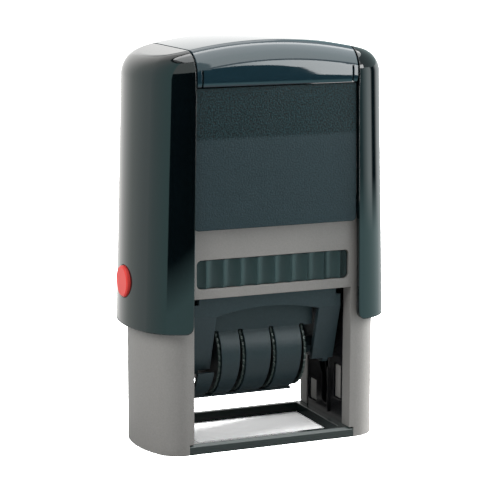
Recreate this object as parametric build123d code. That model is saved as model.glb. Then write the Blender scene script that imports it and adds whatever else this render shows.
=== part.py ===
from build123d import *
import math
import os

# Self-inking date stamp, upright and at rest.  Millimetres.
# X runs across the front, Y from the front (-) to the back (+), Z up from the surface it stands on.

# A length well past every face, for cuts that go right through
beyond = 150.0

# Frame: two hollow legs joined by a band, a ceiling over the pad and a bar under it
frame_half_width = 34.4
frame_half_depth = 16.3
frame_side_radius = 29.1
frame_corner_radius = 7.2
frame_wall = 1.8
frame_face_wall = 2.0
frame_side_bow = 0.9
leg_width = 11.2
leg_inner = frame_half_width - leg_width
leg_inner_wall = 1.6
foot_thickness = 1.6
shoulder_height = 36.0
shoulder_inset = 1.2
frame_top = 64.0
bar_bottom = 42.75
bar_top = 45.4
ceiling_thickness = 1.6
ledge_width = 1.7
ledge_thickness = 1.2

# Base ring
rim_overlap = 1.3
rim_half_length = leg_inner + rim_overlap
rim_height = 2.84
rim_end_width = 3.5
rim_side_width = 2.2
rim_chamfer = 0.7

# Ink pad cartridge
pad_side_gap = 0.2
pad_frame_cheek = 0.7
pad_half_width = leg_inner - pad_frame_cheek - pad_side_gap
pad_bottom_gap = 0.1
pad_height = 7.6
pad_top_gap = 0.2
pad_corner = 1.2
pad_rim = 1.4
pad_face_rim = 2.9
scallop_pitch = 4.95
scallop_depth = 0.9
felt_recess = 0.05
felt_thickness = 5.0

# Cap: two rounded lobes that slide over the legs
cap_wall = 1.6
cap_side_gap = 1.5
cap_face_gap = 1.3
cap_half_width = frame_half_width + cap_side_gap + cap_wall
cap_half_depth = frame_half_depth + cap_face_gap + cap_wall
cap_side_radius = 31.0
cap_corner_radius = 12.0
cap_bottom = 34.0
cap_apex = 111.2
cap_top_radius = 118.0
cap_edge_radius = 6.5
cap_lean = 1.65
cap_middle_overlap = 10.0
lobe_hollow_top = 8.0
lobe_hollow_side = 2.3
lobe_hollow_bevel = 5.0
lobe_edge_low = leg_inner + 1.2
lobe_edge_high = leg_inner + 0.3
lobe_edge_round = 2.0
header_drop = 13.0
header_bottom = cap_apex - header_drop
roof_thickness = 1.6

# Clip-in index window over the top of the cap, and the card under it
window_lift_gap = 1.4
window_bottom = header_bottom + window_lift_gap
window_half_width = leg_inner + 0.15
window_side_gap = 0.3
window_thickness = 1.55
window_seat_gap = 0.25
window_slit_width = 0.5
window_slit_height = 4.4
window_tab_width = 1.5
card_half_length = 20.0
card_half_depth = 11.0
card_thickness = 0.3
card_gap = 0.1
roof_rib_thickness = 1.6
roof_rib_spacing = 14.0

# Front and rear panels between the lobes
panel_bottom = 61.5
panel_half_width = leg_inner - 0.6
panel_corner = 1.2
panel_frame_gap = 0.35
panel_back = frame_half_depth + panel_frame_gap
panel_thickness = 1.5
panel_front = panel_back + panel_thickness
panel_flange_thickness = 0.65
panel_flange_low = lobe_edge_low + 0.6
panel_flange_high = lobe_edge_high + 0.7
panel_flange_rise = 1.0
panel_lip_thickness = 0.75
panel_top_gap = 0.35

# Motion: the cap travels down, and the die carrier turns half a turn with it
stroke = 28.5
die_gap = 0.8
felt_face = bar_top + pad_bottom_gap + felt_recess
die_face = felt_face - die_gap
trunnion_height = (die_face + stroke) / 2

# Die carrier
carrier_leg_gap = 2.8
carrier_half_length = leg_inner - carrier_leg_gap
plate_length = 2 * carrier_half_length
plate_depth = 24.0
rubber_thickness = 1.5
mount_thickness = 1.2
deck_thickness = 1.4
carrier_half_depth = 12.75
carrier_wall = 1.6
skirt_bend_drop = 7.75
skirt_drop = 23.5
skirt_end_half_depth = 8.0
cheek_drop = 24.7
cheek_corner = 1.0
ear_leg_gap = 1.4
ear_drop = 4.4
arch_foot_width = 5.1
arch_half_width = carrier_half_length - arch_foot_width
arch_spring_drop = 8.0
arch_rise = 1.9
trunnion_radius = 2.0
boss_radius = 4.9
boss_height = 2.0
peg_radius = 1.1
peg_orbit = 5.0
peg_groove_depth = 0.9
track_points = 10

# Date wheels, bands and their guard
wheel_drop = 12.7
wheel_radius = 11.1
wheel_thickness = 0.6
wheel_notches = 40
wheel_notch_depth = 0.3
hub_radius = 5.5
axle_radius = 1.3
running_gap = 0.06
band_gap = 0.08
band_thickness = 1.0
band_side_gap = 0.15
type_height = 0.8
type_half_depth = 1.8
type_places = (0.3, 0.7)
window_side_clearance = 0.2
window_depth_clearance = 0.3
nose_radius = 2.2
nose_end_gap = 0.05
nose_foot_half_depth = 2.1
nose_foot_length = 2.0
spacer_radius = 2.6
spacer_gap = 0.2
guard_radius = 11.6
guard_wall = 1.2
guard_face = 8.8
guard_clearance = 0.2
guard_slot_top = 31.9
guard_slot_left = 0.8
guard_slot_flare = 1.5
guard_side_gap = 0.3
guard_end_gap = 0.3
guard_foot_gap = 0.3
guard_spine_half_depth = 3.0
guard_spine_thickness = 0.6

# One row per date wheel: its name, its disc and the far end of its hub, the last two as shares of
# the carrier's half length
wheel_shares = [
    ("day_tens", -0.6716, -0.4951),
    ("day_units", -0.3186, -0.4853),
    ("month", 0.1299, -0.2843),
    ("year", 0.5833, 0.1618),
]
wheels = []
for name, disc_share, hub_share in wheel_shares:
    disc = disc_share * carrier_half_length
    hub_end = hub_share * carrier_half_length
    hub_start = disc + math.copysign(wheel_thickness / 2, hub_end - disc)
    wheels.append((name, disc, min(hub_start, hub_end), max(hub_start, hub_end)))

# Stirrup, its bushes, the guide plates and the springs
arm_leg_gap = 3.2
arm_inner = leg_inner + arm_leg_gap
arm_thickness = 2.6
arm_half_width = 5.0
trunnion_end = 0.3
bridge_top = header_bottom
bridge_thickness = 2.5
bridge_half_depth = 8.0
bush_radius = 3.2
guide_recess = 0.25
guide_face = leg_inner + guide_recess
guide_depth = 2.8
guide_back = leg_inner + guide_depth
guide_half_depth = 11.5
guide_side_gap = 0.1
guide_top = 42.0
guide_flange = 1.1
guide_clearance = 0.3
guide_groove_depth = 1.1
guide_rib_width = 0.5
guide_rib_height = 0.5
guide_rib_bottom = 4.0
guide_rib_top = 17.0
liner_gap = 0.1
liner_thickness = 1.2
liner_arm_gap = 0.4
liner_rise = 1.0
guide_windows = [(-10.1, -5.6, 9.0, 19.0), (5.7, 10.6, 4.7, 11.2)]
spring_radius = 6.0
spring_wire_radius = 0.6
spring_turns = 6
spring_steps_per_turn = 12
spring_foot_height = 2.4
spring_foot_gap = 0.4
spring_post_height = 3.0

# Lock buttons in the sides of the cap
button_height = 46.0
button_radius = 4.3
button_gap = 0.2
button_proud = 0.4
button_bevel = 0.35
button_leg_gap = 0.25
button_flange_radius = 5.2
button_flange_thickness = 0.45
lock_hole_radius = 5.6


def outline(half_width, half_depth, side_radius, corner_radius):
    """Plan view of a lobe-ended block: flat front and back, bowed sides, rounded corners."""
    sag = side_radius - math.sqrt(side_radius ** 2 - half_depth ** 2)
    end = half_width - sag
    front = Line((-end, -half_depth), (end, -half_depth))
    right = ThreePointArc((end, -half_depth), (half_width, 0), (end, half_depth))
    back = Line((end, half_depth), (-end, half_depth))
    left = ThreePointArc((-end, half_depth), (-half_width, 0), (-end, -half_depth))
    face = make_face([front, right, back, left])
    return fillet(face.vertices(), corner_radius)


def upright(x0, x1, y0, y1, z0, z1):
    """A block between two corners."""
    centre = Pos((x0 + x1) / 2, (y0 + y1) / 2, (z0 + z1) / 2)
    return centre * Box(x1 - x0, y1 - y0, z1 - z0)


def rod(x0, x1, radius, y, z):
    """A cylinder along X."""
    return Pos((x0 + x1) / 2, y, z) * Rot(0, 90, 0) * Cylinder(radius, x1 - x0)


def across(face, x0, x1):
    """A YZ profile, drawn with its own X as world Y, carried along X from x0 to x1."""
    plane = Plane(origin=(x0, 0, 0), x_dir=(0, 1, 0), z_dir=(1, 0, 0))
    return extrude(plane * face, x1 - x0)


def through(face, half_depth):
    """An XZ profile, drawn with its own Y as world Z, carried from front to back."""
    plane = Plane(origin=(0, half_depth, 0), x_dir=(1, 0, 0), z_dir=(0, -1, 0))
    return extrude(plane * face, 2 * half_depth)


def facing(face, front, back):
    """An XZ profile on the front of the stamp, between two distances from the middle."""
    plane = Plane(origin=(0, -back, 0), x_dir=(1, 0, 0), z_dir=(0, -1, 0))
    return extrude(plane * face, front - back)


def polygon(points):
    """A face with straight edges through the points."""
    return make_face(Polyline(*points, close=True))


def both_sides(part):
    """The part and its mirror image on the other side of the stamp."""
    return part + mirror(part, about=Plane.YZ)


def lobe_outline(inset):
    """Plan view of the cap's right half, drawn in all round by inset."""
    width = cap_half_width - inset
    depth = cap_half_depth - inset
    radius = cap_side_radius - inset
    start = -cap_middle_overlap
    end = width - radius + math.sqrt(radius ** 2 - depth ** 2)
    face = make_face([
        Line((start, -depth), (end, -depth)),
        ThreePointArc((end, -depth), (width, 0), (end, depth)),
        Line((end, depth), (start, depth)),
        Line((start, depth), (start, -depth)),
    ])
    return fillet(face.vertices().group_by(Axis.X)[-1], cap_corner_radius - inset)


def crown(inset):
    """The arch over the cap, as the upper part of a long barrel that lies front to back."""
    barrel = Rot(90, 0, 0) * Cylinder(cap_top_radius - inset, beyond)
    return Pos(0, 0, cap_apex - cap_top_radius) * barrel


def leaning_halves(inset, bottom, top):
    """The cap's two upright halves drawn in by inset, which lean together towards the top."""
    half = extrude(lobe_outline(inset), beyond)
    half = Pos(0, 0, cap_bottom) * Rot(0, -cap_lean, 0) * Pos(0, 0, -cap_bottom) * half
    return both_sides(half & upright(0, beyond, -beyond, beyond, bottom, top))


def cap_form():
    """The cap's outer form: the leaning halves under an arched top with a rounded edge."""
    form = leaning_halves(0, cap_bottom, beyond) & crown(0)
    top = form.faces().filter_by(GeomType.CYLINDER).sort_by(Axis.Z)[-1]
    return fillet(top.edges(), cap_edge_radius)


def lobe_hollow():
    """The inside of the lobes: straight walls, with sloped roofs that stay inside the rounded top."""
    hollow = leaning_halves(cap_wall, cap_bottom - 1, header_bottom + lobe_hollow_top)
    inner = window_half_width + window_side_gap + cap_wall
    top = header_bottom + lobe_hollow_top
    side = header_bottom + lobe_hollow_side
    right = [(inner, header_bottom), (inner, top), (cap_half_width, side), (cap_half_width, 0)]
    left = [(-x, z) for x, z in reversed(right)]
    hollow &= through(polygon(right + left), beyond)
    wide = cap_half_depth
    narrow = cap_half_depth - cap_wall - lobe_hollow_bevel
    bevel = polygon([(-wide, 0), (wide, 0), (wide, side), (narrow, top), (-narrow, top), (-wide, side)])
    return hollow & across(bevel, -beyond, beyond)


def window_form(inset):
    """The middle of the cap's form drawn in by inset, with its front and rear top edges rounded."""
    depth = cap_half_depth - inset
    block = crown(inset) & upright(-beyond, beyond, -depth, depth, header_bottom - 1, beyond)
    top = block.faces().filter_by(GeomType.CYLINDER).sort_by(Axis.Z)[-1]
    ends = top.edges().group_by(Axis.Y)
    return fillet(ends[0] + ends[-1], cap_edge_radius - inset)


def make_cap_shell():
    slab = window_half_width + window_side_gap
    recess_inset = window_thickness + window_seat_gap
    roof_inset = recess_inset + roof_thickness
    shell = cap_form() - lobe_hollow()
    shell -= window_form(roof_inset) & upright(-slab, slab, -beyond, beyond, 0, beyond)
    above = upright(-slab, slab, -beyond, beyond, header_bottom, beyond)
    shell -= above - window_form(recess_inset)
    pocket = window_form(recess_inset) - window_form(recess_inset + card_thickness + card_gap)
    card = card_half_length + card_gap
    depth = card_half_depth + card_gap
    shell -= pocket & upright(-card, card, -depth, depth, header_bottom, beyond)
    shell -= make_lobe_gap()
    half = roof_rib_thickness / 2
    ribs = upright(-slab, slab, -half, half, bridge_top, beyond)
    for x in (-roof_rib_spacing, roof_rib_spacing):
        ribs += upright(x - half, x + half, -bridge_half_depth, bridge_half_depth, bridge_top, beyond)
    shell += ribs & window_form(roof_inset - roof_thickness / 2)
    hole = button_radius + button_gap
    return shell - rod(-cap_half_width - 1, cap_half_width + 1, hole, 0, button_height)


def make_lobe_gap():
    """The open front and back between the lobes, with each lobe's lower inner corner rounded."""
    low = cap_bottom + lobe_edge_round
    turn = lobe_edge_round * (1 - math.sqrt(0.5))
    foot = lobe_edge_low + lobe_edge_round
    below = cap_bottom - 1
    right = [
        Line((foot, below), (foot, cap_bottom)),
        ThreePointArc((foot, cap_bottom), (lobe_edge_low + turn, cap_bottom + turn), (lobe_edge_low, low)),
        Line((lobe_edge_low, low), (lobe_edge_high, header_bottom)),
    ]
    left = [
        Line((-foot, below), (-foot, cap_bottom)),
        ThreePointArc((-foot, cap_bottom), (-lobe_edge_low - turn, cap_bottom + turn), (-lobe_edge_low, low)),
        Line((-lobe_edge_low, low), (-lobe_edge_high, header_bottom)),
    ]
    ends = [
        Line((-foot, below), (foot, below)),
        Line((-lobe_edge_high, header_bottom), (lobe_edge_high, header_bottom)),
    ]
    return through(make_face(right + left + ends), cap_half_depth + 1)


def make_window():
    w = window_half_width
    blank = window_form(0) - window_form(window_thickness)
    window = blank & upright(-w, w, -beyond, beyond, window_bottom, beyond)
    half = window_slit_width / 2
    for centre in (window_tab_width - w, w - window_tab_width):
        window -= upright(centre - half, centre + half, -beyond, beyond,
                          window_bottom - 1, window_bottom + window_slit_height)
    return window


def make_index_card():
    inset = window_thickness + window_seat_gap
    sheet = window_form(inset) - window_form(inset + card_thickness)
    return sheet & upright(-card_half_length, card_half_length, -card_half_depth, card_half_depth,
                           window_bottom, beyond)


def make_panel():
    """The front panel: a raised plate on a thin flange behind the lobes, with a lip over the header."""
    top = window_bottom - panel_top_gap
    plate = Pos(0, (header_bottom + panel_bottom) / 2)
    plate *= Rectangle(2 * panel_half_width, header_bottom - panel_bottom)
    plate = fillet(plate.vertices().group_by(Axis.Y)[0], panel_corner)
    panel = facing(plate, panel_front, panel_back)
    flange = polygon([
        (-panel_flange_low, panel_bottom + panel_flange_rise),
        (panel_flange_low, panel_bottom + panel_flange_rise),
        (panel_flange_high, header_bottom), (-panel_flange_high, header_bottom),
    ])
    panel += facing(flange, panel_back + panel_flange_thickness, panel_back)
    lip = upright(-panel_half_width, panel_half_width, -panel_front, panel_lip_thickness - panel_front,
                  header_bottom, top)
    return panel + lip


def leg_hollow(inset, bottom, top):
    """The inside of both legs, with bevelled corners, drawn in from the outer walls by inset."""
    wide = frame_half_width - inset - frame_wall
    sag = frame_side_radius - math.sqrt(frame_side_radius ** 2 - frame_half_depth ** 2)
    depth = frame_half_depth - frame_face_wall
    bend = depth - frame_corner_radius
    inner = leg_inner + leg_inner_wall
    hollow = polygon([(inner, -depth), (wide - sag, -depth), (wide - frame_side_bow, -bend),
                      (wide, 0), (wide - frame_side_bow, bend), (wide - sag, depth), (inner, depth)])
    return both_sides(extrude(Pos(0, 0, bottom) * hollow, top - bottom))


def make_frame():
    lower = outline(frame_half_width, frame_half_depth, frame_side_radius, frame_corner_radius)
    shoulder = frame_half_width - shoulder_inset
    upper = outline(shoulder, frame_half_depth, frame_side_radius, frame_corner_radius)
    frame = extrude(lower, shoulder_height)
    frame += extrude(Pos(0, 0, shoulder_height) * upper, frame_top - shoulder_height)
    frame -= leg_hollow(0, foot_thickness, shoulder_height - frame_wall)
    frame -= leg_hollow(shoulder_inset, foot_thickness, frame_top + 1)
    face = frame_half_depth - frame_face_wall
    wall = leg_inner + leg_inner_wall
    frame -= upright(-leg_inner, leg_inner, -beyond, beyond, -1, bar_bottom)
    frame -= make_pad_slot()
    ceiling_bottom = bar_top + pad_bottom_gap + pad_height + pad_top_gap
    ceiling_top = ceiling_bottom + ceiling_thickness
    frame -= upright(-leg_inner, leg_inner, -face, face, bar_bottom - 1, ceiling_bottom)
    frame -= upright(-leg_inner, leg_inner, -face, face, ceiling_top, frame_top + 1)
    ledge = leg_inner - ledge_width
    frame += both_sides(upright(ledge, leg_inner, -face, face, bar_top - ledge_thickness, bar_top))
    frame -= upright(-rim_half_length, rim_half_length, -beyond, beyond, -1, rim_height)
    guide = guide_half_depth + guide_side_gap
    frame -= both_sides(upright(leg_inner - 1, wall, -guide, guide, 0, guide_top + guide_side_gap))
    frame -= both_sides(rod(wall, frame_half_width + 1, lock_hole_radius, 0, button_height))
    for front, back, bottom, top in guide_windows:
        near = max(front, arm_half_width + liner_arm_gap) if front > 0 else -guide_half_depth
        far = guide_half_depth if front > 0 else min(back, -arm_half_width - liner_arm_gap)
        behind = guide_back + liner_gap
        frame += both_sides(upright(behind, behind + liner_thickness, near, far, 0, top + liner_rise))
    foot = Cylinder(spring_radius - spring_wire_radius - spring_foot_gap, spring_foot_height)
    return frame + Pos(0, 0, ceiling_top + spring_foot_height / 2) * foot


def make_pad_slot():
    half = pad_half_width + pad_side_gap
    height = pad_bottom_gap + pad_height + pad_top_gap
    slot = Pos(0, bar_top + height / 2) * Rectangle(2 * half, height)
    slot = fillet(slot.vertices(), pad_corner + pad_side_gap)
    return through(slot, beyond)


def make_base_rim():
    rim = upright(-rim_half_length, rim_half_length, -frame_half_depth, frame_half_depth, 0, rim_height)
    top = rim.faces().sort_by(Axis.Z)[-1].edges().filter_by(Axis.X)
    rim = chamfer(top, rim_chamfer)
    half_length = rim_half_length - rim_end_width
    half_depth = frame_half_depth - rim_side_width
    return rim - upright(-half_length, half_length, -half_depth, half_depth, -1, rim_height + 1)


def peg_track():
    """The flip track: the peg's path while the carrier turns half a turn over the whole stroke."""
    width = peg_radius + guide_clearance
    near = []
    far = []
    for step in range(track_points + 1):
        turn = math.pi * step / track_points
        y = peg_orbit * math.sin(turn)
        z = trunnion_height - stroke * step / track_points - peg_orbit * math.cos(turn)
        along_y = peg_orbit * math.cos(turn)
        along_z = peg_orbit * math.sin(turn) - stroke / math.pi
        length = math.hypot(along_y, along_z)
        side_y = -along_z / length * width
        side_z = along_y / length * width
        near.append((y - side_y, z - side_z))
        far.append((y + side_y, z + side_z))
    top = peg_end(near[0], far[0], 1)
    bottom = peg_end(near[-1], far[-1], -1)
    return make_face([Spline(*near), Spline(*far), top, bottom])


def peg_end(a, b, side):
    """The half round that closes one end of the flip track."""
    middle_y = (a[0] + b[0]) / 2
    middle_z = (a[1] + b[1]) / 2
    out_y = -(b[1] - a[1]) / 2
    out_z = (b[0] - a[0]) / 2
    return ThreePointArc(a, (middle_y + side * out_y, middle_z + side * out_z), b)


def make_guide_plate():
    """The right guide plate: it sits in the leg's inner wall, with an axle slot and a flip track."""
    plate = upright(guide_face, leg_inner + leg_inner_wall, -guide_half_depth, guide_half_depth,
                    rim_height, guide_top)
    edge = guide_half_depth + guide_flange
    top = guide_top + guide_flange
    plate += upright(leg_inner + leg_inner_wall, guide_back, -edge, edge, rim_height, top)
    low = trunnion_height - stroke
    slot_width = 2 * (trunnion_radius + guide_clearance)
    slot = Pos(0, (trunnion_height + low) / 2) * Rot(0, 0, 90) * SlotCenterToCenter(stroke, slot_width)
    plate -= across(slot, guide_face - 1, guide_back + 1)
    plate -= across(peg_track(), guide_face - 1, guide_face + guide_groove_depth)
    for front, back, bottom, top in guide_windows:
        plate -= upright(guide_face - 1, guide_back + 1, front, back, bottom, top)
    edge = -slot_width / 2
    plate += upright(guide_face - guide_rib_height, guide_back, edge - guide_rib_width, edge,
                     guide_rib_bottom, guide_rib_top)
    return plate


def make_pad_cartridge():
    bottom = bar_top + pad_bottom_gap
    face = Pos(0, bottom + pad_height / 2) * Rectangle(2 * pad_half_width, pad_height)
    face = fillet(face.vertices(), pad_corner)
    body = through(face, frame_half_depth)
    radius = ((scallop_pitch / 2) ** 2 + scallop_depth ** 2) / (2 * scallop_depth)
    reach = frame_half_depth + radius - scallop_depth
    count = math.ceil(pad_half_width / scallop_pitch)
    for i in range(-count, count):
        x = (i + 0.5) * scallop_pitch
        for y in (-reach, reach):
            body -= Pos(x, y, bottom + pad_height / 2) * Cylinder(radius, pad_height + 2)
    felt = upright(-pad_half_width + pad_rim, pad_half_width - pad_rim, -frame_half_depth + pad_face_rim,
                   frame_half_depth - pad_face_rim, bottom - 1, bottom + felt_recess + felt_thickness)
    return body - felt


def make_ink_pad():
    bottom = bar_top + pad_bottom_gap + felt_recess
    return upright(-pad_half_width + pad_rim, pad_half_width - pad_rim, -frame_half_depth + pad_face_rim,
                   frame_half_depth - pad_face_rim, bottom, bottom + felt_thickness)


def carrier_profile(inset):
    """Side view of the die carrier: straight under the deck, then drawn in towards the wheels."""
    top = die_face - rubber_thickness - mount_thickness
    bend = die_face - skirt_bend_drop
    end = die_face - skirt_drop
    wide = carrier_half_depth - inset
    narrow = skirt_end_half_depth - inset
    low = die_face - cheek_drop
    points = [(wide, top), (wide, bend), (narrow, end), (narrow, low),
              (-narrow, low), (-narrow, end), (-wide, bend), (-wide, top)]
    return polygon(points)


def make_carrier():
    deck_top = die_face - rubber_thickness - mount_thickness
    deck_bottom = deck_top - deck_thickness
    skirt_end = die_face - skirt_drop
    outer = carrier_profile(0)
    outer = fillet(outer.vertices().group_by(Axis.Y)[0], cheek_corner)
    body = across(outer, -carrier_half_length, carrier_half_length)
    inside = carrier_half_length - carrier_wall
    hollow = across(carrier_profile(carrier_wall), -inside, inside)
    body -= hollow & upright(-inside, inside, -beyond, beyond, 0, deck_bottom)
    body -= upright(-inside, inside, -beyond, beyond, 0, skirt_end)
    ear_end = leg_inner - ear_leg_gap
    ears = across(carrier_profile(0) - carrier_profile(carrier_wall), carrier_half_length, ear_end)
    body += both_sides(ears & upright(0, beyond, -beyond, beyond, skirt_end, die_face - ear_drop))
    spring_line = die_face - arch_spring_drop
    arch = make_face([
        Line((-arch_half_width, 0), (arch_half_width, 0)),
        Line((arch_half_width, 0), (arch_half_width, spring_line)),
        ThreePointArc((arch_half_width, spring_line), (0, spring_line + arch_rise),
                      (-arch_half_width, spring_line)),
        Line((-arch_half_width, spring_line), (-arch_half_width, 0)),
    ])
    body -= through(arch, carrier_half_depth + 1)
    body -= date_window(deck_bottom - 1, deck_top + 1)
    boss = rod(carrier_half_length, carrier_half_length + boss_height, boss_radius, 0, trunnion_height)
    body += both_sides(boss)
    end = carrier_half_length + boss_height + 1
    cheek = carrier_half_length - carrier_wall
    body -= both_sides(rod(cheek, end, trunnion_radius, 0, trunnion_height))
    body -= both_sides(rod(cheek, end, axle_radius, 0, trunnion_height - wheel_drop))
    return body - both_sides(rod(carrier_half_length, end, peg_radius, 0, trunnion_height - peg_orbit))


def date_window(bottom, top):
    """The opening that the date bands come up through."""
    left = wheels[0][2] - window_side_clearance
    right = wheels[-1][3] + window_side_clearance
    half = nose_radius + band_thickness + window_depth_clearance
    return upright(left, right, -half, half, bottom, top)


def make_plate_mount():
    top = die_face - rubber_thickness
    plate = upright(-plate_length / 2, plate_length / 2, -plate_depth / 2, plate_depth / 2,
                    top - mount_thickness, top)
    return plate - date_window(top - mount_thickness - 1, top + 1)


def make_text_plate():
    plate = upright(-plate_length / 2, plate_length / 2, -plate_depth / 2, plate_depth / 2,
                    die_face - rubber_thickness, die_face)
    return plate - date_window(die_face - rubber_thickness - 1, die_face + 1)


def make_guard():
    """The slotted wheel guard: aprons that run into a drum round the wheels, with a spine below."""
    axis = trunnion_height - wheel_drop
    deck_bottom = die_face - rubber_thickness - mount_thickness - deck_thickness
    join = axis + math.sqrt(guard_radius ** 2 - guard_face ** 2)
    left = guard_end_gap - carrier_half_length
    right = wheels[-1][1] - wheel_thickness / 2 - guard_end_gap
    drum = rod(left, right, guard_radius, 0, axis)
    drum -= rod(left - 1, right + 1, guard_radius - guard_wall, 0, axis)
    first = wheels[0][1]
    drum -= upright(-beyond, beyond, -beyond, beyond, join, beyond)
    drum -= upright(-beyond, first, -beyond, beyond, die_face - skirt_drop - guard_foot_gap, beyond)
    w = arch_half_width - guard_side_gap
    aprons = upright(-w, w, -guard_face, guard_face, join, deck_bottom)
    inside = guard_face - guard_wall
    aprons -= upright(-w - 1, w + 1, -inside, inside, join - 1, deck_bottom + 1)
    guard = drum + aprons
    low = axis - guard_radius - 1
    for name, disc, start, end in wheels:
        near = disc - guard_slot_left
        far = disc + wheel_thickness / 2 + guard_clearance
        guard -= rod(near, far, wheel_radius + guard_clearance, 0, axis)
        slot = polygon([(near, guard_slot_top), (far, guard_slot_top), (far, low),
                        (near - guard_slot_flare, low)])
        guard -= through(slot, beyond)
    top = axis - wheel_radius - guard_clearance
    depth = guard_spine_half_depth
    return guard + upright(left, right, -depth, depth, top - guard_spine_thickness, top)


def make_wheel(disc, start, end):
    """A date wheel: a notched disc with the hub that drives its band."""
    axis = trunnion_height - wheel_drop
    half = wheel_thickness / 2
    rim = []
    for i in range(wheel_notches):
        for share, radius in ((0, wheel_radius - wheel_notch_depth), (1, wheel_radius), (3, wheel_radius)):
            turn = 2 * math.pi * (i + share / 4) / wheel_notches
            rim.append((radius * math.cos(turn), axis + radius * math.sin(turn)))
    wheel = across(polygon(rim), disc - half, disc + half)
    wheel += rod(start, end, hub_radius, 0, axis)
    return wheel - rod(-beyond, beyond, axle_radius + running_gap, 0, axis)


def belt(low_radius, high_radius, low, high):
    """Outline of a band round two pulleys one above the other."""
    lean = math.asin((low_radius - high_radius) / (high - low))
    low_y = low_radius * math.cos(lean)
    low_z = low + low_radius * math.sin(lean)
    high_y = high_radius * math.cos(lean)
    high_z = high + high_radius * math.sin(lean)
    return make_face([
        ThreePointArc((-low_y, low_z), (0, low - low_radius), (low_y, low_z)),
        Line((low_y, low_z), (high_y, high_z)),
        ThreePointArc((high_y, high_z), (0, high + high_radius), (-high_y, high_z)),
        Line((-high_y, high_z), (-low_y, low_z)),
    ])


def make_band(start, end):
    """A date band: a loop round its hub and the nose, with blank type blocks."""
    axis = trunnion_height - wheel_drop
    nose = die_face - type_height - band_thickness - nose_radius
    low_radius = hub_radius + band_gap + band_thickness
    high_radius = nose_radius + band_thickness
    profile = belt(low_radius, high_radius, axis, nose)
    profile += Pos(0, die_face - type_height) * Rectangle(2 * type_half_depth, 2 * type_height)
    lean = math.degrees(math.asin((low_radius - high_radius) / (nose - axis)))
    for share in type_places:
        radius = low_radius + share * (high_radius - low_radius)
        block = Pos(radius, 0) * Rectangle(2 * type_height, 2 * type_half_depth)
        for turn in (lean, 180 - lean):
            profile += Pos(0, axis + share * (nose - axis)) * Rot(0, 0, turn) * block
    profile -= belt(hub_radius + band_gap, nose_radius, axis, nose)
    return across(profile, start + band_side_gap, end - band_side_gap)


def make_nose():
    """The bar that carries the bands under the date window, with a foot at each end on the deck."""
    deck_bottom = die_face - rubber_thickness - mount_thickness - deck_thickness
    z = die_face - type_height - band_thickness - nose_radius
    left = wheels[0][2] + nose_end_gap
    right = wheels[-1][3] - nose_end_gap
    nose = rod(left, right, nose_radius, 0, z)
    d = nose_foot_half_depth
    foot = upright(0, nose_foot_length, -d, d, z - nose_radius, deck_bottom)
    return nose + Pos(left - nose_foot_length, 0, 0) * foot + Pos(right, 0, 0) * foot


def make_spacers():
    """Six-sided tubes on the axle, between the outer wheels and the carrier's cheeks."""
    axis = trunnion_height - wheel_drop
    inside = carrier_half_length - carrier_wall
    half = wheel_thickness / 2
    left = wheels[0][1] - half - spacer_gap
    right = wheels[-1][1] + half + spacer_gap
    section = Pos(0, axis) * RegularPolygon(spacer_radius, 6) - Pos(0, axis) * Circle(axle_radius)
    return across(section, -inside, left) + across(section, right, inside)


def make_stirrup():
    """Two flat arms inside the legs, joined by a bridge under the cap's roof."""
    outer = arm_inner + arm_thickness
    bottom = bridge_top - bridge_thickness
    arm = upright(arm_inner, outer, -arm_half_width, arm_half_width, trunnion_height, bridge_top)
    arm += rod(arm_inner, outer, arm_half_width, 0, trunnion_height)
    arm -= rod(arm_inner - 1, outer + 1, bush_radius, 0, trunnion_height)
    stirrup = both_sides(arm)
    stirrup += upright(-outer, outer, -bridge_half_depth, bridge_half_depth, bottom, bridge_top)
    post = Cylinder(spring_radius - spring_wire_radius - spring_foot_gap, spring_post_height)
    return stirrup + Pos(0, 0, bottom - spring_post_height / 2) * post


def make_bushes():
    outer = arm_inner + arm_thickness
    bush = rod(arm_inner, outer, bush_radius, 0, trunnion_height)
    bush -= rod(arm_inner - 1, outer + 1, trunnion_radius + running_gap, 0, trunnion_height)
    return both_sides(bush)


def make_trunnions():
    inside = carrier_half_length - carrier_wall
    outside = arm_inner + arm_thickness + trunnion_end
    return both_sides(rod(inside, outside, trunnion_radius, 0, trunnion_height))


def make_pegs():
    reach = guide_face + peg_groove_depth
    return both_sides(rod(carrier_half_length, reach, peg_radius, 0, trunnion_height - peg_orbit))


def make_spring():
    """The return spring: one wire wound between the ceiling over the pad and the bridge."""
    ceiling_top = bar_top + pad_bottom_gap + pad_height + pad_top_gap + ceiling_thickness
    bottom = ceiling_top + spring_wire_radius
    rise = bridge_top - bridge_thickness - spring_wire_radius - bottom
    steps = spring_turns * spring_steps_per_turn
    sections = []
    for step in range(steps + 1):
        turn = 360 * step / spring_steps_per_turn
        place = Pos(0, 0, bottom + rise * step / steps) * Rot(0, 0, turn) * Pos(spring_radius, 0, 0)
        sections.append(place * Rot(90, 0, 0) * RegularPolygon(spring_wire_radius, 6))
    return loft(sections, ruled=True)


def make_button():
    """The right lock button: a flat-faced plunger with a bevelled rim and a thin flange inside the cap."""
    face = cap_half_width + button_proud
    back = frame_half_width + button_leg_gap
    plunger = rod(back, face, button_radius, 0, button_height)
    plunger = chamfer(plunger.edges().sort_by(Axis.X)[-1], button_bevel)
    return plunger + rod(back, back + button_flange_thickness, button_flange_radius, 0, button_height)


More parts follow.
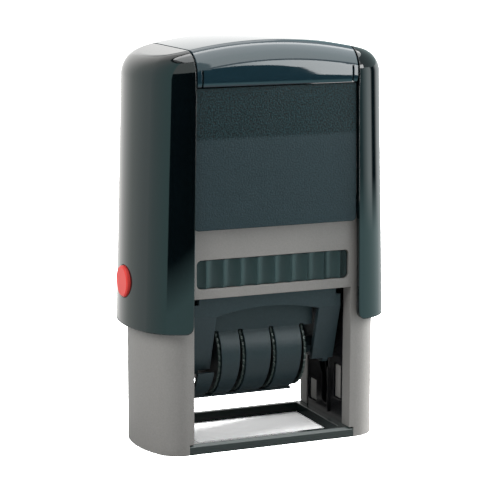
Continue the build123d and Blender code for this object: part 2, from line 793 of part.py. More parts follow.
wheel_height = trunnion_height - wheel_drop
parts = {
    "frame_shell": make_frame(),
    "base_rim": make_base_rim(),
    "return_spring": make_spring(),
    "pad_cartridge": make_pad_cartridge(),
    "ink_pad": make_ink_pad(),
    "cap_shell": make_cap_shell(),
    "index_card": make_index_card(),
    "index_window": make_window(),
    "stirrup": make_stirrup(),
    "stirrup_bushes": make_bushes(),
    "die_carrier": make_carrier(),
    "plate_mount": make_plate_mount(),
    "text_plate": make_text_plate(),
    "wheel_guard": make_guard(),
    "wheel_axle": rod(-carrier_half_length, carrier_half_length, axle_radius, 0, wheel_height),
    "axle_spacers": make_spacers(),
    "band_nose": make_nose(),
    "trunnion_pins": make_trunnions(),
    "flip_pegs": make_pegs(),
}
front_panel = make_panel()
parts["front_panel"] = front_panel
parts["rear_panel"] = mirror(front_panel, about=Plane.XZ)
guide_plate = make_guide_plate()
parts["guide_plate_right"] = guide_plate
parts["guide_plate_left"] = mirror(guide_plate, about=Plane.YZ)
lock_button = make_button()
parts["lock_button_right"] = lock_button
parts["lock_button_left"] = mirror(lock_button, about=Plane.YZ)
for name, disc, start, end in wheels:
    parts[name + "_wheel"] = make_wheel(disc, start, end)
    parts[name + "_band"] = make_band(start, end)

os.makedirs("parts", exist_ok=True)
for name, part in parts.items():
    export_step(part, "parts/" + name + ".step")
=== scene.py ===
import math

import bmesh
import bpy
from mathutils import Matrix, Vector, noise


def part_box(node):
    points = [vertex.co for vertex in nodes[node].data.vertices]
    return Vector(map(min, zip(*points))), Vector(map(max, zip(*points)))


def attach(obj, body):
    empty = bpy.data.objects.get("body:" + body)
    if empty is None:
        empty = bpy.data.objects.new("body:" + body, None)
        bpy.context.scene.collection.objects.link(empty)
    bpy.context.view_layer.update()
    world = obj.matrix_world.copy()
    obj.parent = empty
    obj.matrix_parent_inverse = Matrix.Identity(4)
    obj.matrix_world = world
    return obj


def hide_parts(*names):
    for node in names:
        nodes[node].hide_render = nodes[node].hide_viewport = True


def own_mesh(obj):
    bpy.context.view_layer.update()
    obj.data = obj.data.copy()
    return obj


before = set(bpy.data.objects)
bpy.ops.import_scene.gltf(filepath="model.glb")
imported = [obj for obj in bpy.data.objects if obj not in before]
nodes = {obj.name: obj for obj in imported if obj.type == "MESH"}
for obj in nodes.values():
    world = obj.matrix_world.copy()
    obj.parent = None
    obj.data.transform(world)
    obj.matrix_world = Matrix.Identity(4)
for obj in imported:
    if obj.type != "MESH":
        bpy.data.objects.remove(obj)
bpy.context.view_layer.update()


# Camera: a long lens a little above the stamp, to the left of its front.
# It stands where the photograph was taken from, and keeps no shift.
yaw = math.radians(23.41)
dip = math.radians(10.5)
lean = math.radians(0.2)
film_width = 36
picture_width = 500
focal_pixels = 1996.8
camera = bpy.data.objects.new("camera", bpy.data.cameras.new("camera"))
camera.data.sensor_fit = "HORIZONTAL"
camera.data.sensor_width = film_width
camera.data.lens = film_width * focal_pixels / picture_width
camera.data.clip_start = 0.01
turned = Matrix.Rotation(-yaw, 3, "Z")
tipped = Matrix.Rotation(math.pi / 2 - dip, 3, "X")
rolled = Matrix.Rotation(lean, 3, "Z")
camera.rotation_euler = (turned @ tipped @ rolled).to_euler()
camera.location = (-0.2161, -0.4991, 0.1527)
bpy.context.scene.collection.objects.link(camera)
bpy.context.scene.camera = camera


# Studio: a white floor and surround, a small soft box near the left side, a stronger one far to the right.
# The camera sees pure white. What floor and surround shed on the stamp is kept low, for its dark front.
white = (1.0, 1.0, 1.0)
surround_light = 0.31
surround_seen = 1.0
floor_tone = 0.5
floor_seen = 4.0
floor_half = 3
stamp_middle = Vector((0, 0, 0.055))


def feed(socket, source):
    """Links another node's output to a socket, or sets a plain value on it."""
    if isinstance(source, bpy.types.NodeSocket):
        socket.id_data.links.new(source, socket)
    else:
        socket.default_value = source


def maths(tree, operation, *terms):
    """The result of a sum over sockets and plain numbers."""
    step = tree.nodes.new("ShaderNodeMath")
    step.operation = operation
    for socket, term in zip(step.inputs, terms):
        feed(socket, term)
    return step.outputs[0]


def carried(tree, value, low, high, first=0.0, last=1.0):
    """A value carried from the span low to high over to the span first to last, and held at both ends."""
    span = tree.nodes.new("ShaderNodeMapRange")
    for name, source in (("Value", value), ("From Min", low), ("From Max", high), ("To Min", first),
                         ("To Max", last)):
        feed(span.inputs[name], source)
    return span.outputs["Result"]


def shader_of(material):
    """The inputs of the material's Principled shader."""
    material.use_nodes = True
    return material.node_tree.nodes["Principled BSDF"].inputs


world = bpy.data.worlds.new("surround")
world.use_nodes = True
tree = world.node_tree
rays = tree.nodes.new("ShaderNodeLightPath")
seen = maths(tree, "MAXIMUM", rays.outputs["Is Camera Ray"], rays.outputs["Is Glossy Ray"])
seen_or_through = maths(tree, "MAXIMUM", seen, rays.outputs["Is Transmission Ray"])
strength = carried(tree, seen_or_through, 0.0, 1.0, surround_light, surround_seen)
feed(tree.nodes["Background"].inputs["Strength"], strength)
feed(tree.nodes["Background"].inputs["Color"], (*white, 1))
bpy.context.scene.world = world
bpy.context.scene.view_settings.view_transform = "Standard"

mesh = bmesh.new()
bmesh.ops.create_grid(mesh, x_segments=1, y_segments=1, size=floor_half)
floor_mesh = bpy.data.meshes.new("floor")
mesh.to_mesh(floor_mesh)
mesh.free()
floor = bpy.data.objects.new("floor", floor_mesh)
bpy.context.scene.collection.objects.link(floor)
white_floor = bpy.data.materials.new("white_floor")
shader = shader_of(white_floor)
tree = white_floor.node_tree
rays = tree.nodes.new("ShaderNodeLightPath")
feed(shader["Base Color"], carried(tree, rays.outputs["Is Camera Ray"], 0.0, 1.0, floor_tone, floor_seen))
feed(shader["Roughness"], 0.9)
feed(shader["Specular IOR Level"], 0.0)
floor.data.materials.append(white_floor)


def soft_box(name, place, size, power):
    """A square lamp that looks at the stamp's middle and isn't mirrored."""
    lamp = bpy.data.objects.new(name, bpy.data.lights.new(name, "AREA"))
    lamp.data.size = size
    lamp.data.energy = power
    lamp.location = place
    lamp.rotation_euler = (stamp_middle - lamp.location).to_track_quat("-Z", "Y").to_euler()
    lamp.visible_glossy = False
    bpy.context.scene.collection.objects.link(lamp)


soft_box("left_soft_box", place=(-0.42, -0.09, 0.34), size=0.3, power=1.85)
soft_box("right_soft_box", place=(1.0, 0.0, 0.45), size=0.6, power=34.0)


# Cards: what the glossy black plastic mirrors, as a photographer stands them round such a thing.
# The nearest is black over a pale foot and gives the crisp dark bands in front.
# Those round it are half lit at the sides, and bright above it, at the right and overhead.
black = (0.0, 0.0, 0.0)
black_ring = 0.16
light_ring = 0.165
side_ring = 0.17
back_ring = 0.3
card_foot = 0.0005
card_steps = 48


def only_mirrored(name, mesh, material):
    """Makes a card that nothing sees but reflections."""
    card_mesh = bpy.data.meshes.new(name)
    mesh.to_mesh(card_mesh)
    mesh.free()
    card = bpy.data.objects.new(name, card_mesh)
    bpy.context.scene.collection.objects.link(card)
    card.data.materials.append(material)
    for kind in ("visible_camera", "visible_diffuse", "visible_shadow", "visible_transmission"):
        setattr(card, kind, False)


def round_card(name, material, bearings, radius, low, high, high_end=None):
    """A curved card between two bearings, in degrees from front to right. Its top can slope to high_end."""
    first = math.radians(bearings[0])
    turn = math.radians(bearings[1] - bearings[0])
    mesh = bmesh.new()
    foot = mesh.verts.new((radius * math.sin(first), -radius * math.cos(first), low))
    head = mesh.verts.new((radius * math.sin(first), -radius * math.cos(first), high))
    edge = mesh.edges.new((foot, head))
    bmesh.ops.spin(mesh, geom=[foot, head, edge], axis=(0, 0, 1), cent=(0, 0, 0), angle=turn,
                   steps=card_steps)
    if high_end is not None:
        for corner in mesh.verts:
            if corner.co.z > (low + high) / 2:
                bearing = math.atan2(corner.co.x, -corner.co.y)
                corner.co.z += (high_end - high) * (bearing - first) / turn
    only_mirrored(name, mesh, material)


def along(tree, axis):
    """The place along one axis, in metres."""
    place = tree.nodes.new("ShaderNodeTexCoord")
    split = tree.nodes.new("ShaderNodeSeparateXYZ")
    feed(split.inputs[0], place.outputs["Object"])
    return split.outputs[axis]


def colour_along(tree, axis, stops):
    """A colour that changes along one axis, through colours at given places in metres."""
    first, last = stops[0][0], stops[-1][0]
    ramp = tree.nodes.new("ShaderNodeValToRGB")
    while len(ramp.color_ramp.elements) < len(stops):
        ramp.color_ramp.elements.new(0.5)
    for element, (spot, colour) in zip(ramp.color_ramp.elements, stops):
        element.position = (spot - first) / (last - first)
        element.color = (*colour, 1)
    feed(ramp.inputs[0], carried(tree, along(tree, axis), first, last))
    return ramp.outputs["Color"]


def blend(tree, mask, under, over):
    """Two colours mixed by a mask."""
    mix = tree.nodes.new("ShaderNodeMix")
    mix.data_type = "RGBA"
    for socket, source in zip((mix.inputs[0], mix.inputs[6], mix.inputs[7]), (mask, under, over)):
        feed(socket, source)
    return mix.outputs[2]


def glow(name, strength, colour):
    """A card's light, of one colour all over."""
    material = bpy.data.materials.new(name)
    shader = shader_of(material)
    feed(shader["Base Color"], (*black, 1))
    feed(shader["Specular IOR Level"], 0.0)
    feed(shader["Emission Color"], (*colour, 1))
    feed(shader["Emission Strength"], strength)
    return material


def glow_along(name, strength, axis, stops):
    """A card's light, which changes along one axis."""
    material = glow(name, strength, white)
    feed(shader_of(material)["Emission Color"], colour_along(material.node_tree, axis, stops))
    return material


black_over_foot = glow_along("black_over_foot", 1.2, "Z", [(0.016, (0.58, 0.98, 0.98)), (0.033, black)])
round_card("front_card", black_over_foot, bearings=(-56, 10), radius=black_ring, low=card_foot, high=0.148)
round_card("front_card_slope", black_over_foot, bearings=(10, 22), radius=black_ring, low=card_foot,
           high=0.148, high_end=0.098)
round_card("front_card_end", black_over_foot, bearings=(22, 38), radius=black_ring, low=card_foot,
           high=0.098, high_end=0.046)

haze = glow("haze", 1.35, (0.9, 1, 0.97))
round_card("haze_card", haze, bearings=(-56, 10), radius=light_ring, low=0.05, high=0.38)
strip_light = glow_along("strip_light", 10.0, "X", [
    (0.03, (0.3, 0.33, 0.33)), (0.055, (0.75, 0.78, 0.78)), (0.1, white)])
round_card("strip_card", strip_light, bearings=(10, 40), radius=light_ring, low=0.046, high=0.15)
round_card("strip_card_right", strip_light, bearings=(40, 56), radius=light_ring, low=0.12, high=0.15)
high_light = glow("high_light", 4.2, (0.95, 1, 0.99))
round_card("high_card", high_light, bearings=(10, 56), radius=light_ring, low=0.168, high=0.38)
dim_light = glow("dim_light", 0.6, (0.8, 1, 1))
round_card("dim_card", dim_light, bearings=(56, 148), radius=light_ring, low=0.122, high=0.23)

left_light = glow_along("left_light", 1.38, "Y", [
    (-0.095, (0.47, 0.81, 0.8)), (0.06, (0.68, 0.8, 0.79)), (0.12, (0.7, 0.76, 0.73)),
    (0.16, (1, 1, 0.98))])
round_card("left_card", left_light, bearings=(-178, -56), radius=side_ring, low=card_foot, high=0.4)
dark_edge = glow("dark_edge", 0.1, white)
round_card("left_card_edge", dark_edge, bearings=(-178, 10), radius=side_ring, low=0.4, high=0.46)

right_light = glow_along("right_light", 2.4, "Y", [
    (-0.146, (0.34, 0.58, 0.6)), (-0.085, (0.38, 0.6, 0.6)), (0.0, (0.46, 0.6, 0.6)),
    (0.058, (0.5, 0.55, 0.55)), (0.109, (0.3, 0.32, 0.32)), (0.144, (0.2, 0.2, 0.2))])
right_glow = shader_of(right_light)["Emission Color"]
tree = right_light.node_tree
plain = right_glow.links[0].from_socket
striped = colour_along(tree, "Y", [
    (-0.146, (0.1, 0.2, 0.21)), (-0.115, (0.12, 0.22, 0.23)), (-0.075, (0.85, 1, 1)), (-0.05, (0.9, 1, 1)),
    (-0.035, black), (-0.005, black), (0.025, (0.6, 0.64, 0.64)), (0.15, (0.45, 0.47, 0.47))])
upper = colour_along(tree, "Z", [(0.036, black), (0.055, white)])
feed(right_glow, blend(tree, upper, plain, striped))
round_card("right_card", right_light, bearings=(31, 148), radius=side_ring, low=card_foot, high=0.125)

back_light = glow_along("back_light", 1.8, "Z", [
    (0.08, (0.9, 0.9, 0.89)), (0.19, (0.9, 0.9, 0.89)), (0.235, (0.5, 0.51, 0.51)),
    (0.245, (0.25, 0.26, 0.26)), (0.27, (0.25, 0.26, 0.26)), (0.285, white), (0.5, white)])
round_card("back_card", back_light, bearings=(148, 182), radius=back_ring, low=0.08, high=0.5)

overhead_half = 0.28
overhead_place = (0.15, -0.1, 0.45)
mesh = bmesh.new()
bmesh.ops.create_grid(mesh, x_segments=1, y_segments=1, size=overhead_half)
bmesh.ops.translate(mesh, verts=mesh.verts, vec=overhead_place)
overhead_light = glow_along("overhead_light", 7.0, "Y", [
    (-0.38, (0.6, 0.62, 0.62)), (0.06, (0.6, 0.62, 0.62)), (0.1, white), (0.18, white)])
only_mirrored("overhead_card", mesh, overhead_light)

strip_width = 0.03
strip_length = 0.2
strip_place = Vector((0.0235, 0.125, 0.0008))
mesh = bmesh.new()
bmesh.ops.create_grid(mesh, x_segments=1, y_segments=1, size=0.5)
bmesh.ops.scale(mesh, verts=mesh.verts, vec=(strip_width, strip_length, 1))
bmesh.ops.translate(mesh, verts=mesh.verts, vec=strip_place)
bmesh.ops.rotate(mesh, verts=mesh.verts, cent=(strip_place.x, 0, 0), matrix=Matrix.Rotation(yaw, 3, "Z"))
only_mirrored("black_card_behind", mesh, glow("black_card", 0.0, black))


# Finishes: nearly every piece is injection moulded, with a slightly uneven skin and fine pores.
# The group gives each finish the same faint mottling, pores and height at its own scale.
skin = bpy.data.node_groups.new("moulded_skin", "ShaderNodeTree")
skin.interface.new_socket(name="Colour", in_out="INPUT", socket_type="NodeSocketColor")
for name in ("Mottle", "Grain Size", "Roughness", "Roughness Spread", "Grain Tint"):
    skin.interface.new_socket(name=name, in_out="INPUT", socket_type="NodeSocketFloat")
skin.interface.new_socket(name="Colour", in_out="OUTPUT", socket_type="NodeSocketColor")
for name in ("Roughness", "Height"):
    skin.interface.new_socket(name=name, in_out="OUTPUT", socket_type="NodeSocketFloat")
given = skin.nodes.new("NodeGroupInput").outputs
result = skin.nodes.new("NodeGroupOutput").inputs
place = skin.nodes.new("ShaderNodeTexCoord")


def speckle(scale, detail):
    """A noise over the piece, as values about a half."""
    cloud = skin.nodes.new("ShaderNodeTexNoise")
    feed(cloud.inputs["Scale"], scale)
    feed(cloud.inputs["Detail"], detail)
    feed(cloud.inputs["Vector"], place.outputs["Object"])
    return cloud.outputs["Fac"]


clouds = speckle(scale=55, detail=4)
grain = speckle(scale=given["Grain Size"], detail=3)
cloud_offset = maths(skin, "SUBTRACT", clouds, 0.5)
grain_offset = maths(skin, "SUBTRACT", grain, 0.5)
mottled = maths(skin, "MULTIPLY_ADD", cloud_offset, given["Mottle"], 1.0)
grained = maths(skin, "MULTIPLY_ADD", grain_offset, given["Grain Tint"], mottled)
tint = skin.nodes.new("ShaderNodeVectorMath")
tint.operation = "SCALE"
feed(tint.inputs[0], given["Colour"])
feed(tint.inputs["Scale"], grained)
feed(result["Colour"], tint.outputs[0])
uneven = maths(skin, "MULTIPLY_ADD", cloud_offset, given["Roughness Spread"], given["Roughness"])
feed(result["Roughness"], uneven)
feed(result["Height"], grain)


def skinned(name, colour, mottle, grain_size, roughness, roughness_spread, pore_depth=0.0, edge=0.0,
            grain_tint=0.0, specular=0.5, metallic=0.0, sheen=0.0):
    """A material in one colour. The depth of its pores and the radius of its eased edges are in metres."""
    material = bpy.data.materials.new(name)
    shader = shader_of(material)
    tree = material.node_tree
    surface = tree.nodes.new("ShaderNodeGroup")
    surface.name = "skin"
    surface.node_tree = skin
    for quality, value in (("Colour", (*colour, 1)), ("Mottle", mottle), ("Grain Size", grain_size),
                           ("Roughness", roughness), ("Roughness Spread", roughness_spread),
                           ("Grain Tint", grain_tint)):
        feed(surface.inputs[quality], value)
    bump = tree.nodes.new("ShaderNodeBump")
    feed(bump.inputs["Distance"], pore_depth)
    feed(bump.inputs["Height"], surface.outputs["Height"])
    if edge:
        eased = tree.nodes.new("ShaderNodeBevel")
        eased.samples = 6
        feed(eased.inputs["Radius"], edge)
        feed(bump.inputs["Normal"], eased.outputs["Normal"])
    for quality, value in (("Base Color", surface.outputs["Colour"]), ("Metallic", metallic),
                           ("Roughness", surface.outputs["Roughness"]), ("Specular IOR Level", specular),
                           ("Sheen Weight", sheen), ("Normal", bump.outputs["Normal"])):
        feed(shader[quality], value)
    return material


def dress(material, *names):
    """Gives CAD nodes their material."""
    for name in names:
        for spot in nodes[name].material_slots:
            spot.material = material


# Cap: two lobes and the roof between them, one piece of polished ABS in a greenish black.
# It slides down over the frame's legs.
cap_black = skinned("cap_black", (0.0015, 0.0035, 0.0045), mottle=0.3, grain_size=900, roughness=0.045,
                    roughness_spread=0.03, edge=0.0003)
dress(cap_black, "cap_shell")


# Index window: an arched, polished clip-in cover over the roof, smoked so dark that it reads as black.
# Its front and back curl in at the foot, and a slit near each corner leaves a tab that hooks into the cap.
window_low, window_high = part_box("index_window")
side_gap = 0.00022
window_half = window_high.x - side_gap
arch_radius = 0.118
arch_centre = (0, 0, window_high.z - arch_radius)
arch_angle = math.radians(25)
arch_steps = 50
front_round = 0.0065
wall = 0.00155
lip_height = 0.0023
lip_radius = 0.0065
lip_rows = 5
slit_height = 0.0044
slit_half = 0.00025
tab_width = 0.0014
slit_top = window_low.z + slit_height
slit_middle = window_half - tab_width
spare = 0.004
same_place = 0.000001
mesh = bmesh.new()
corners = [mesh.verts.new((0, y, z)) for y, z in (
    (window_low.y, window_low.z - spare), (window_low.y, window_high.z),
    (window_high.y, window_high.z), (window_high.y, window_low.z - spare))]
mesh.faces.new(corners)
bmesh.ops.bevel(mesh, geom=corners[1:3], affect="VERTICES", offset=front_round, segments=12, profile=0.5,
                material=-1)
bmesh.ops.delete(mesh, geom=list(mesh.faces), context="FACES_ONLY")
sill = [edge for edge in mesh.edges if all(end.co.z < window_low.z for end in edge.verts)]
bmesh.ops.delete(mesh, geom=sill, context="EDGES")
bmesh.ops.rotate(mesh, verts=mesh.verts, cent=arch_centre, matrix=Matrix.Rotation(-arch_angle / 2, 3, "Y"))
bmesh.ops.spin(mesh, geom=list(mesh.verts) + list(mesh.edges), axis=(0, 1, 0), cent=arch_centre,
               angle=arch_angle, steps=arch_steps)
bmesh.ops.remove_doubles(mesh, verts=mesh.verts, dist=same_place)


def score(mesh, spot, across, drop_beyond=False):
    """Adds edges to a mesh where a plane crosses it, and drops what lies beyond the plane where asked."""
    everything = list(mesh.verts) + list(mesh.edges) + list(mesh.faces)
    bmesh.ops.bisect_plane(mesh, geom=everything, plane_co=spot, plane_no=across, clear_outer=drop_beyond)


score(mesh, (-window_half, 0, 0), (-1, 0, 0), drop_beyond=True)
score(mesh, (window_half, 0, 0), (1, 0, 0), drop_beyond=True)
score(mesh, (0, 0, window_low.z), (0, 0, -1), drop_beyond=True)
for row in range(1, lip_rows + 1):
    score(mesh, (0, 0, window_low.z + lip_height * row / lip_rows), (0, 0, 1))
score(mesh, (0, 0, slit_top), (0, 0, 1))
for edge_x in (slit_middle - slit_half, slit_middle + slit_half):
    score(mesh, (edge_x, 0, 0), (1, 0, 0))
    score(mesh, (-edge_x, 0, 0), (1, 0, 0))
slits = []
for face in mesh.faces:
    middle = face.calc_center_median()
    if abs(abs(middle.x) - slit_middle) < slit_half and middle.z < slit_top:
        slits.append(face)
bmesh.ops.delete(mesh, geom=slits, context="FACES")
for corner in mesh.verts:
    below = window_low.z + lip_height - corner.co.z
    if below > 0:
        corner.co.y -= math.copysign(below ** 2 / (2 * lip_radius), corner.co.y)
bmesh.ops.recalc_face_normals(mesh, faces=mesh.faces)
top_face = max(mesh.faces, key=lambda face: face.calc_center_median().z)
if top_face.normal.z < 0:
    bmesh.ops.reverse_faces(mesh, faces=mesh.faces)


def piece(name, mesh, material, body):
    """Makes a smooth-shaded piece of a mesh, dresses it and lets it ride on a body."""
    for face in mesh.faces:
        face.smooth = True
    new_mesh = bpy.data.meshes.new(name)
    mesh.to_mesh(new_mesh)
    mesh.free()
    made = bpy.data.objects.new(name, new_mesh)
    bpy.context.scene.collection.objects.link(made)
    made.data.materials.append(material)
    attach(made, body)
    return made


def ease_edges(made, width):
    """Rounds a piece's sharp edges, as a mould leaves them."""
    eased = made.modifiers.new("eased_edges", "BEVEL")
    eased.width = width
    eased.segments = 3
    eased.limit_method = "ANGLE"
    eased.angle_limit = math.radians(50)
    eased.harden_normals = True


window_black = skinned("window_black", (0.012, 0.034, 0.047), mottle=0.3, grain_size=900, roughness=0.045,
                       roughness_spread=0.03, edge=0.0002)
cover = piece("window_cover", mesh, window_black, "window")
thick = cover.modifiers.new("wall", "SOLIDIFY")
thick.thickness = wall
thick.offset = -1
ease_edges(cover, width=0.00028)
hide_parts("index_window")


# Front and rear panels: grained dark plates snapped in between the lobes, with a thin lip under the window.
# The part where a maker puts its name is paler and less coarse than the header over it, and is left bare.
panel_low, panel_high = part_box("front_panel")
header_drop = 0.013
header = window_high.z - header_drop
foot_half = 0.0237
head_half = 0.02322
foot_corner = 0.0012
lip_thickness = 0.00075
label_top = 0.0853
header_foot = 0.0862
label_slate = (0.016, 0.033, 0.04)
header_slate = (0.003, 0.0155, 0.019)
label_grain_tint = 1.0
header_grain_tint = 5.0
panel_grain = skinned("panel_grain", label_slate, mottle=0.2, grain_size=2200, roughness=0.5,
                      roughness_spread=0.2, pore_depth=0.00014, specular=0.15)
tree = panel_grain.node_tree
panel_skin = tree.nodes["skin"].inputs
above_label = carried(tree, along(tree, "Z"), label_top, header_foot)
feed(panel_skin["Colour"], blend(tree, above_label, (*label_slate, 1), (*header_slate, 1)))
feed(panel_skin["Grain Tint"], carried(tree, above_label, 0.0, 1.0, label_grain_tint, header_grain_tint))
for name, turn in (("front_panel", 0), ("rear_panel", math.pi)):
    mesh = bmesh.new()
    outline = [mesh.verts.new((x, panel_low.y, z)) for x, z in (
        (-foot_half, panel_low.z), (foot_half, panel_low.z),
        (head_half, panel_high.z), (-head_half, panel_high.z))]
    mesh.faces.new(outline)
    bmesh.ops.bevel(mesh, geom=outline[:2], affect="VERTICES", offset=foot_corner, segments=6, profile=0.5,
                    material=-1)
    score(mesh, (0, 0, header), (0, 0, 1))
    raised = bmesh.ops.extrude_face_region(mesh, geom=list(mesh.faces), use_keep_orig=True)["geom"]
    back_faces = [part for part in raised if isinstance(part, bmesh.types.BMFace)]
    back_corners = list({corner for face in back_faces for corner in face.verts})
    bmesh.ops.translate(mesh, verts=back_corners, vec=(0, lip_thickness, 0))
    thick_part = [face for face in back_faces if face.calc_center_median().z < header]
    backed = bmesh.ops.extrude_face_region(mesh, geom=thick_part)["geom"]
    bmesh.ops.translate(mesh, verts=[part for part in backed if isinstance(part, bmesh.types.BMVert)],
                        vec=(0, panel_high.y - panel_low.y - lip_thickness, 0))
    bmesh.ops.delete(mesh, geom=[face for face in thick_part if face.is_valid], context="FACES")
    bmesh.ops.recalc_face_normals(mesh, faces=mesh.faces)
    bmesh.ops.rotate(mesh, verts=mesh.verts, cent=(0, 0, 0), matrix=Matrix.Rotation(turn, 3, "Z"))
    plate = piece(name + "_plate", mesh, panel_grain, "cap")
    ease_edges(plate, width=0.0002)
    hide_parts(name)


# Index card: a slip of grey card that lies on the roof under the window.
# It is cut from plain stock.
card_stock = skinned("card_stock", (0.1, 0.1, 0.1), mottle=0.2, grain_size=3000, roughness=0.8,
                     roughness_spread=0.1, pore_depth=0.00002)
dress(card_stock, "index_card")


# Lock buttons: satin red plungers, one in each lobe, with a fine bevel round the face.
# They are moulded in a softer plastic than the cap.
button_red = skinned("button_red", (0.72, 0.05, 0.042), mottle=0.1, grain_size=900, roughness=0.4,
                     roughness_spread=0.05, edge=0.0004, specular=0.25)
dress(button_red, "lock_button_left", "lock_button_right")


# Frame: two hollow legs joined over and under the pad's slot, in a fine matt warm grey.
# It is moulded in one piece, with soft edges and a spark-eroded skin.
frame_grey = skinned("frame_grey", (0.245, 0.238, 0.228), mottle=0.1, grain_size=2200, roughness=0.5,
                     roughness_spread=0.1, pore_depth=0.00004, edge=0.0003, grain_tint=0.25, specular=0.3)
dress(frame_grey, "frame_shell")


# Base ring: a glossy dark ring pressed in between the feet, which frames the imprint.
# Its front and back edges are bevelled.
ring_dark = skinned("ring_dark", (0.02, 0.033, 0.032), mottle=0.2, grain_size=2200, roughness=0.18,
                    roughness_spread=0.08, pore_depth=0.00001, edge=0.00025)
dress(ring_dark, "base_rim")


# Guide plates: near-black plates let into the legs' inner walls, which steer the carrier.
# Grey bosses on the frame stand in their windows and hold them square. Each window below is given by its
# front, back, bottom and top.
guide_black = skinned("guide_black", (0.0045, 0.0045, 0.006), mottle=0.2, grain_size=2200, roughness=0.22,
                      roughness_spread=0.08, pore_depth=0.00001, edge=0.0002, specular=0.25)
dress(guide_black, "guide_plate_left", "guide_plate_right")
boss_face = 0.0238
boss_back = 0.0264
boss_gap = 0.00025
boss_edge = 0.0003
boss_windows = [(-0.0101, -0.0056, 0.009, 0.019), (0.0057, 0.0106, 0.0047, 0.0112)]
mesh = bmesh.new()
for front, back, bottom, top in boss_windows:
    for side in (-1, 1):
        block = bmesh.ops.create_cube(mesh, size=1)["verts"]
        bmesh.ops.scale(mesh, verts=block, vec=(boss_back - boss_face, back - front - 2 * boss_gap,
                                                top - bottom - 2 * boss_gap))
        bmesh.ops.translate(mesh, verts=block, vec=(side * (boss_face + boss_back) / 2, (front + back) / 2,
                                                    (bottom + top) / 2))
bmesh.ops.bevel(mesh, geom=list(mesh.edges), affect="EDGES", offset=boss_edge, segments=3, profile=0.5,
                material=-1)
piece("plate_bosses", mesh, frame_grey, "frame")


# Ink pad cartridge: a satin drawer with a scalloped front and back.
# It slides in the frame's slot and is held by friction.
cartridge = skinned("cartridge", (0.0105, 0.0285, 0.03), mottle=0.2, grain_size=1500, roughness=0.3,
                    roughness_spread=0.1, pore_depth=0.00001, edge=0.0002)
dress(cartridge, "pad_cartridge")


# Ink pad: a slab of dense felt, soaked with black ink, that fills the cartridge and faces down.
# Its face is crowned, with the edges drawn up into the cartridge and a short nap.
felt_low, felt_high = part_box("ink_pad")
felt_gap = 0.0001
felt_width = felt_high.x - felt_low.x - 2 * felt_gap
felt_depth = felt_high.y - felt_low.y - 2 * felt_gap
crown_drop = 0.0005
crown_power = 16
nap = 0.00004
fibres_across = 60
fibres_deep = 40
mesh = bmesh.new()
bmesh.ops.create_grid(mesh, x_segments=84, y_segments=54, size=0.5)
for corner in mesh.verts:
    across, deep = corner.co.x, corner.co.y
    curl = max(abs(2 * across) ** crown_power, abs(2 * deep) ** crown_power)
    fibres = noise.noise((across * fibres_across, deep * fibres_deep, 0)) * nap
    corner.co = (across * felt_width, deep * felt_depth, felt_low.z + nap + crown_drop * curl + fibres)
rim = [edge for edge in mesh.edges if edge.is_boundary]
walls = bmesh.ops.extrude_edge_only(mesh, edges=rim)["geom"]
for corner in walls:
    if isinstance(corner, bmesh.types.BMVert):
        corner.co.z = felt_high.z - felt_gap
bmesh.ops.contextual_create(mesh, geom=[edge for edge in mesh.edges if edge.is_boundary])
bmesh.ops.recalc_face_normals(mesh, faces=mesh.faces)
felt = skinned("ink_felt", (0.012, 0.012, 0.016), mottle=0.6, grain_size=5000, roughness=0.95,
               roughness_spread=0.05, pore_depth=0.0002, grain_tint=1.0, sheen=0.3)
felt_slab = piece("ink_felt", mesh, felt, "pad")
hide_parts("ink_pad")


# Die carrier: a slate satin box with cheeks that carry the wheels' axle and the trunnions.
# The stirrup that hangs from the cap and the die's base plate are the same stuff.
carrier_slate = skinned("carrier_slate", (0.025, 0.045, 0.053), mottle=0.2, grain_size=2000, roughness=0.42,
                        roughness_spread=0.1, pore_depth=0.00002, edge=0.0003, grain_tint=0.3,
                        specular=0.25)
dress(carrier_slate, "die_carrier", "plate_mount", "stirrup")


# Wheel guard: a slotted drum and its aprons, moulded in one, with a nose bar for the bands above.
# It keeps fingers off the bands and lets the wheels stand out of its slots.
guard_slate = skinned("guard_slate", (0.018, 0.0345, 0.0405), mottle=0.2, grain_size=2000, roughness=0.42,
                      roughness_spread=0.1, pore_depth=0.00002, edge=0.0003, grain_tint=0.3, specular=0.24)
dress(guard_slate, "wheel_guard", "band_nose")


# Date wheels: thin notched discs with hubs, with a painted highlight on their rims and painted shade on
# their faces.
# Six-sided tubes of the carrier's stuff keep them in place on the axle.
wheel_low, wheel_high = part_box("month_wheel")
axle_height = (wheel_low.z + wheel_high.z) / 2
# Painted highlight and shade: the face is painted dark as shade, and the rim is painted lighter as its
# highlight, out from these radii.
rim_highlight_from = 0.0103
rim_highlight_full = 0.0108
shade_painted_slate = (0.012, 0.016, 0.018)
rim_highlight_slate = (0.035, 0.055, 0.05)
wheel_slate = skinned("wheel_slate", shade_painted_slate, mottle=0.2, grain_size=2000, roughness=0.35,
                      roughness_spread=0.1, pore_depth=0.00001, edge=0.00015, specular=0.25)
tree = wheel_slate.node_tree
place = tree.nodes.new("ShaderNodeTexCoord")
to_axle = tree.nodes.new("ShaderNodeMapping")
feed(to_axle.inputs["Vector"], place.outputs["Object"])
feed(to_axle.inputs["Location"], (0, 0, -axle_height))
feed(to_axle.inputs["Scale"], (0, 1, 1))
out_from_axle = tree.nodes.new("ShaderNodeVectorMath")
out_from_axle.operation = "LENGTH"
feed(out_from_axle.inputs[0], to_axle.outputs["Vector"])
# The mask out from the axle lays the painted rim highlight over the painted shade of the face.
painted_rim_mask = carried(tree, out_from_axle.outputs["Value"], rim_highlight_from, rim_highlight_full)
feed(tree.nodes["skin"].inputs["Colour"], blend(tree, painted_rim_mask, (*shade_painted_slate, 1), (*rim_highlight_slate, 1)))
dress(wheel_slate, "day_tens_wheel", "day_units_wheel", "month_wheel", "year_wheel")
dress(carrier_slate, "axle_spacers")


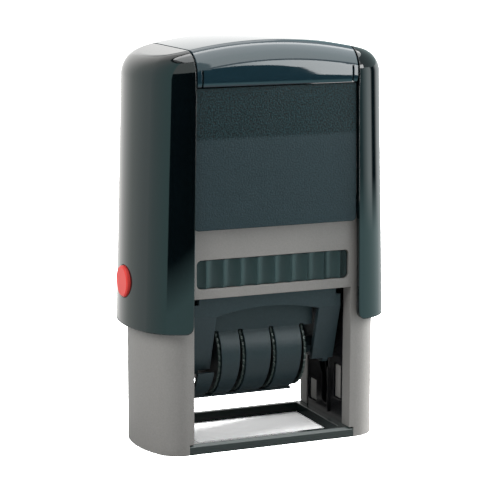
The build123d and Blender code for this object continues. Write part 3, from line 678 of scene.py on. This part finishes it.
# Rubber: the die's text plate and the date bands, blank, in a dull red-brown.
# The bands run from the wheels' hubs over the nose bar.
rubber = skinned("die_rubber", (0.09, 0.035, 0.028), mottle=0.3, grain_size=2500, roughness=0.75,
                 roughness_spread=0.1, pore_depth=0.00004, edge=0.0002)
dress(rubber, "text_plate", "day_tens_band", "day_units_band", "month_band", "year_band")


# Bearings and metal: bushes of natural acetal; axle, pins and pegs of bright steel.
# The pins turn in the bushes, and the pegs run in the flip track.
acetal = skinned("acetal", (0.55, 0.55, 0.52), mottle=0.05, grain_size=1500, roughness=0.35,
                 roughness_spread=0.05, edge=0.0002)
dress(acetal, "stirrup_bushes")
steel = skinned("bright_steel", (0.55, 0.55, 0.56), mottle=0.1, grain_size=3000, roughness=0.25,
                roughness_spread=0.1, edge=0.0001, metallic=1.0)
dress(steel, "wheel_axle", "trunnion_pins", "flip_pegs")


# Return spring: cold wound wire between the ceiling over the pad and the bridge that hangs from the cap.
# It is built at its rest length and rides on the frame.
spring_low, spring_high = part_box("return_spring")
wire_radius = 0.0006
wire_sides = 8
turns = 6
steps_per_turn = 24
coil_radius = spring_high.x - wire_radius
spring_length = spring_high.z - spring_low.z
climb = (spring_length - 2 * wire_radius) / (turns * steps_per_turn)
mesh = bmesh.new()
section = bmesh.ops.create_circle(mesh, segments=wire_sides, radius=wire_radius)["verts"]
bmesh.ops.rotate(mesh, verts=section, cent=(0, 0, 0), matrix=Matrix.Rotation(math.pi / 2, 3, "X"))
bmesh.ops.translate(mesh, verts=section, vec=(coil_radius, 0, spring_low.z + wire_radius))
bmesh.ops.spin(mesh, geom=list(mesh.verts) + list(mesh.edges), axis=(0, 0, 1), cent=(0, 0, 0),
               dvec=(0, 0, climb), angle=2 * math.pi * turns, steps=turns * steps_per_turn)
bmesh.ops.holes_fill(mesh, edges=[edge for edge in mesh.edges if edge.is_boundary], sides=wire_sides)
bmesh.ops.recalc_face_normals(mesh, faces=mesh.faces)
coil = piece("spring_coil", mesh, steel, "frame")
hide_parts("return_spring")
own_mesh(coil)
